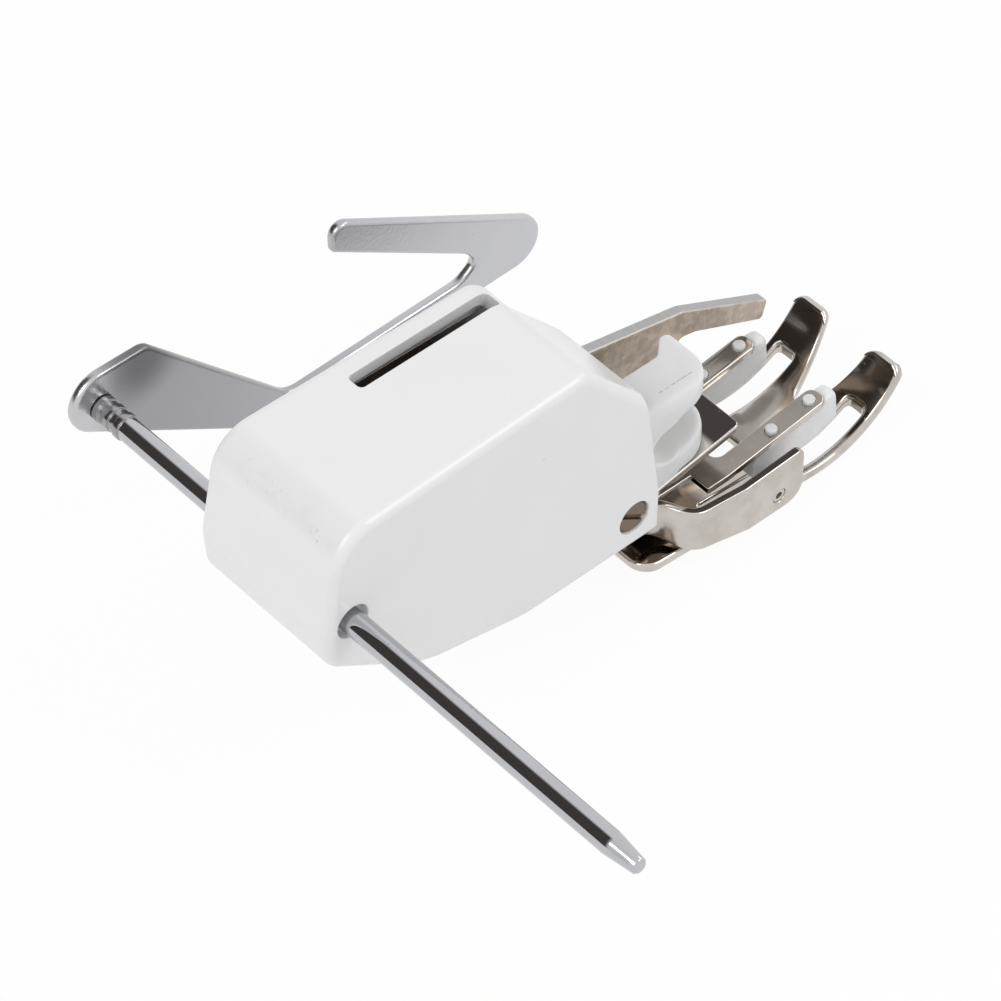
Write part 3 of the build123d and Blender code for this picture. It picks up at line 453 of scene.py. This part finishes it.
finishes = {
    "white_moulding": white_moulding(),
    "nylon": milky_nylon(),
    "clear_rubber": clear_rubber(),
    "nickel_sheet": bright_nickel("nickel_sheet", polish=0.13, brown=0.16, specks=0.2, painted_dark_flats=painted_reflection_tongue_and_rims),
    "nickel_sole": bright_nickel("nickel_sole", polish=0.08, brown=0.3, specks=0.6, painted_dark_flats=painted_shade_and_reflection_sole),
    "nickel_carrier": bright_nickel("nickel_carrier", polish=0.14, brown=0.35, specks=0.2, painted_dark_flats=painted_reflection_strip_tops),
    "nickel_lever": punched_lever(),
    "screw_steel": plain_steel("screw_steel", tone=(0.165, 0.12, 0.088), rough=0.26),
    "pin_steel": plain_steel("pin_steel", tone=(0.52, 0.50, 0.47), rough=0.2),
    "spring_steel": plain_steel("spring_steel", tone=(0.38, 0.38, 0.39), rough=0.25),
    "guide_chrome": guide_chrome(),
}
finish_of = {node: finishes[slot_of[node]] for node in nodes}
finish_of["guide_rod"] = rod_chrome()


def dress(piece, finish):
    piece.data.materials.clear()
    piece.data.materials.append(finish)


def only(piece):
    # Leaves this piece alone selected and active.
    bpy.ops.object.select_all(action="DESELECT")
    piece.select_set(True)
    bpy.context.view_layer.objects.active = piece


def loose_copy(node, ending):
    # Free copy of a node's solid, with its seams joined.
    only(nodes[node])
    bpy.ops.object.duplicate(linked=False)
    piece = bpy.context.view_layer.objects.active
    piece.name = f"{node}_{ending}"
    del piece["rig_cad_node"]
    bpy.ops.mesh.customdata_custom_splitnormals_clear()
    bpy.ops.object.mode_set(mode="EDIT")
    bpy.ops.mesh.select_all(action="SELECT")
    bpy.ops.mesh.remove_doubles(threshold=seam_width * MM)
    bpy.ops.object.mode_set(mode="OBJECT")
    return piece


def stand_in(piece, node):
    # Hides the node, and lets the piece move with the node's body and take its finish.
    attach(piece, body_of[node])
    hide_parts(node)
    dress(piece, finish_of[node])


def refilled(mesh):
    # Fills again each face that crosses itself after easing, so that no fill spans a slot.
    mesh.calc_loop_triangles()
    filled = [0.0] * len(mesh.polygons)
    for triangle in mesh.loop_triangles:
        filled[triangle.polygon_index] += triangle.area
    spots = [corner.co.copy() for corner in mesh.vertices]
    faces = []
    for face in mesh.polygons:
        corners = list(face.vertices)
        if filled[face.index] - face.area < crossed_area * MM ** 2:
            faces.append(corners)
            continue
        across = face.normal.orthogonal().normalized()
        up = face.normal.cross(across)
        level = face.normal * spots[corners[0]].dot(face.normal)
        outline = [Vector((spots[i].dot(across), spots[i].dot(up))) / MM for i in corners]
        loop = list(range(len(outline)))
        points, _, fills, sources, _, _ = delaunay_2d_cdt(outline, [], [loop], 1, crossing_gap)
        index = []
        for point, source in zip(points, sources):
            index.append(corners[source[0]] if source else len(spots))
            if not source:
                spots.append(level + (across * point.x + up * point.y) * MM)
        faces += [[index[i] for i in fill] for fill in fills]
    mesh.clear_geometry()
    mesh.from_pydata(spots, [], faces)
    mesh.update()


def eased(node, width, rings=3, flat=True, cutter=None):
    # Stands a copy of a solid in for it, with eased edges, and with its broad faces shaded flat where asked.
    piece = loose_copy(node, "eased")
    if cutter:
        trim = piece.modifiers.new("trim", "BOOLEAN")
        trim.object = cutter
        trim.solver = "EXACT"
        bpy.ops.object.modifier_apply(modifier=trim.name)
        only(cutter)
        bpy.ops.object.delete()
        only(piece)
    bpy.ops.object.mode_set(mode="EDIT")
    bpy.ops.mesh.select_all(action="SELECT")
    bpy.ops.mesh.dissolve_limited(angle_limit=radians(level_within))
    bpy.ops.object.mode_set(mode="OBJECT")
    ease = piece.modifiers.new("ease", "BEVEL")
    ease.width = width * MM
    ease.segments = rings
    ease.limit_method = "ANGLE"
    ease.angle_limit = radians(eased_above)
    ease.use_clamp_overlap = False
    bpy.ops.object.modifier_apply(modifier=ease.name)
    refilled(piece.data)
    bpy.ops.object.shade_smooth_by_angle(angle=radians(smooth_below))
    if flat:
        level = piece.modifiers.new("level", "WEIGHTED_NORMAL")
        level.keep_sharp = True
        bpy.ops.object.modifier_apply(modifier=level.name)
    stand_in(piece, node)


def softened(node, cell, passes, extra, zone):
    # Stands a copy of a moulded piece in for it, rebuilt in cells and smoothed, most of all in one zone.
    piece = loose_copy(node, "soft")
    piece.data.remesh_voxel_size = cell * MM
    bpy.ops.object.voxel_remesh()
    group = piece.vertex_groups.new(name="softer")
    group.add([v.index for v in piece.data.vertices if zone(v.co / MM)], 1.0, "REPLACE")
    for times, name in ((extra, group.name), (passes, "")):
        calm = piece.modifiers.new("calm", "SMOOTH")
        calm.factor = 0.5
        calm.iterations = times
        calm.vertex_group = name
        bpy.ops.object.modifier_apply(modifier=calm.name)
    bpy.ops.object.shade_smooth()
    stand_in(piece, node)


def gate_wedge():
    # The room on the right of the lever's gate, down to the slanted front.
    bpy.ops.mesh.primitive_cube_add(size=1.0)
    wedge = bpy.context.view_layer.objects.active
    for corner in wedge.data.vertices:
        at_right, at_rear, at_top = (c > 0 for c in corner.co)
        side = gate_right if at_right else gate_left
        reach = gate_rear if at_rear else gate_front
        bottom = gate_low_rear if at_rear else gate_low_front
        corner.co = Vector((side, reach, gate_top if at_top else bottom)) * MM
    return wedge


def block_front(corner):
    return corner.y < block_soft_from and corner.z < block_soft_below


def pad_front(corner):
    return corner.y < pad_soft_from


def lamp(name, spot, size, power):
    light = bpy.data.lights.new(name, "AREA")
    light.shape = "DISK"
    light.size = size
    light.energy = power
    holder = bpy.data.objects.new(name, light)
    bpy.context.scene.collection.objects.link(holder)
    holder.location = spot
    holder.rotation_euler = (Vector(lamps_aim) - Vector(spot)).to_track_quat("-Z", "Y").to_euler()


for node in nodes:
    dress(nodes[node], finish_of[node])

eased_edges = {
    "chassis": 0.2,
    "fork_lever": 0.16,
    "feed_carrier": 0.14,
    "guide_plate": 0.38,
    "guide_rod": 0.05,
    "cover_screw": 0.07,
    "sole_pins": 0.06,
}
for node, width in eased_edges.items():
    eased(node, width)
eased("sole", width=0.4, rings=6, flat=False)
eased("housing_cover", width=0.16, cutter=gate_wedge())
softened("shank_block", cell=0.13, passes=12, extra=110, zone=block_front)
for node in ("feed_pad_left", "feed_pad_right"):
    softened(node, cell=0.09, passes=6, extra=220, zone=pad_front)

# Floor and lights.
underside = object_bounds()[0].z
bpy.ops.object.select_all(action="DESELECT")
bpy.ops.mesh.primitive_plane_add(size=floor_side, location=(0, 0, underside - floor_gap))
floor = bpy.context.view_layer.objects.active
floor.name = "floor"
dress(floor, floor_paper())

world = bpy.data.worlds.new("studio")
bpy.context.scene.world = world
light_room(world)
lamp("key", spot=(-0.04, 0.60, 0.61), size=0.5, power=2.1)
lamp("side", spot=(-0.46, -0.41, 0.66), size=0.42, power=1.65)
lamp("front", spot=(0.0, -0.68, 0.42), size=0.4, power=0.55)

# Camera at the photograph's angle.
camera = bpy.data.objects.new("camera", bpy.data.cameras.new("camera"))
bpy.context.scene.collection.objects.link(camera)
camera.matrix_world = Matrix.LocRotScale(camera_spot, Euler([radians(a) for a in camera_turn]), None)
camera.data.sensor_width = camera_sensor
camera.data.lens = camera_lens
camera.data.clip_start = 0.01
camera.data.clip_end = 50.0
bpy.context.scene.camera = camera
bpy.context.scene.view_settings.view_transform = "Standard"
